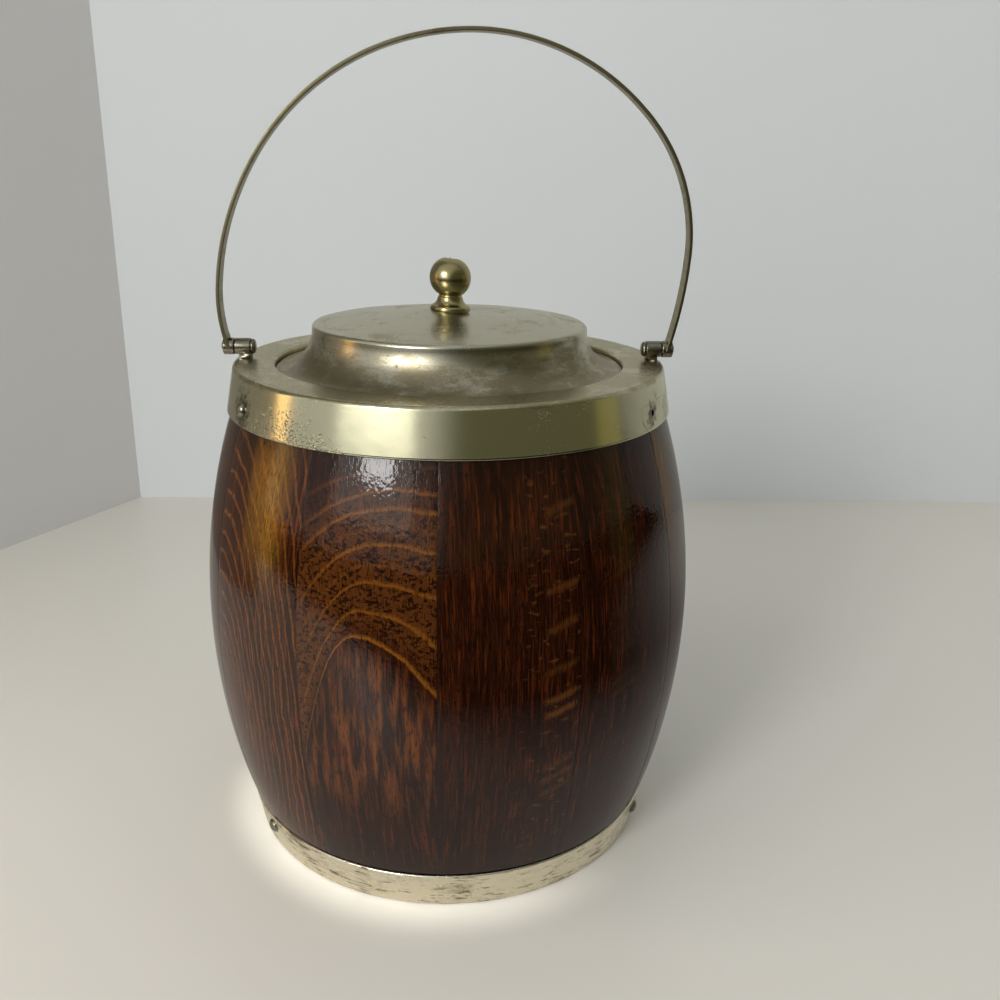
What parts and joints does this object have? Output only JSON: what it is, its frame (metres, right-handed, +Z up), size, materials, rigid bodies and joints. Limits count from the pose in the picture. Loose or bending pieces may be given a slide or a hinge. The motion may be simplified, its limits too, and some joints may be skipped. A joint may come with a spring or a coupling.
{
  "type": "biscuit jar",
  "caption": "Coopered oak biscuit barrel with a glazed liner, a metal rim, foot ring and domed lift-off lid with a ball knob, and a swinging bail handle.",
  "frame": {"origin": "centre of the jar's footprint, on the surface it stands on", "axes": "+Z up along the barrel's axis, +X to the jar's right along the bail's hinge line, -Y to the front"},
  "size_m": [0.14, 0.14, 0.2226],
  "materials": {
    "oak_varnished": "dark stained oak under gloss varnish",
    "oak_bare": "oiled board",
    "liner_glaze": "glossy white glaze",
    "nickel_silver_polished": "polished nickel silver, lightly tarnished",
    "nickel_silver_satin": "worn satin nickel silver",
    "nickel_silver_pitted": "pitted pale nickel silver",
    "nickel_silver_tarnished": "dark tarnished nickel silver",
    "nickel_silver_bail": "worn nickel silver strip",
    "nickel_brass_knob": "brassy, darkened",
    "brass_small": "plain"
  },
  "bodies": {
    "root": {"stave_01": "oak_varnished", "stave_02": "oak_varnished", "stave_03": "oak_varnished", "stave_04": "oak_varnished", "stave_05": "oak_varnished", "stave_06": "oak_varnished", "stave_07": "oak_varnished", "stave_08": "oak_varnished", "stave_09": "oak_varnished", "stave_10": "oak_varnished", "stave_11": "oak_varnished", "stave_12": "oak_varnished", "bottom_board": "oak_bare", "ceramic_liner": "liner_glaze", "rim_collar": "nickel_silver_polished", "rim_pins": "nickel_silver_tarnished", "base_ring": "nickel_silver_pitted", "base_pins": "nickel_silver_tarnished", "hinge_lug_left": "nickel_silver_tarnished", "hinge_lug_right": "nickel_silver_tarnished", "hinge_pin_left": "nickel_silver_tarnished", "hinge_pin_right": "nickel_silver_tarnished"},
    "lid": {"lid_cover": "nickel_silver_satin", "lid_bezel": "nickel_silver_satin", "lid_knob": "nickel_brass_knob", "knob_washer": "brass_small", "knob_nut": "brass_small"},
    "bail": {"bail_strip": "nickel_silver_bail", "bail_knuckle_left": "nickel_silver_tarnished", "bail_knuckle_right": "nickel_silver_tarnished"}
  },
  "joints": [
    {"name": "lid_lift", "type": "slide", "parent": "root", "child": "lid", "axis": [0, 0, 1], "range_m": [0, 0.05]},
    {"name": "bail_swing", "type": "hinge", "parent": "root", "child": "bail", "pos_m": [0, 0, 0.1403], "axis": [1, 0, 0], "range_deg": [-120, 120]}
  ]
}
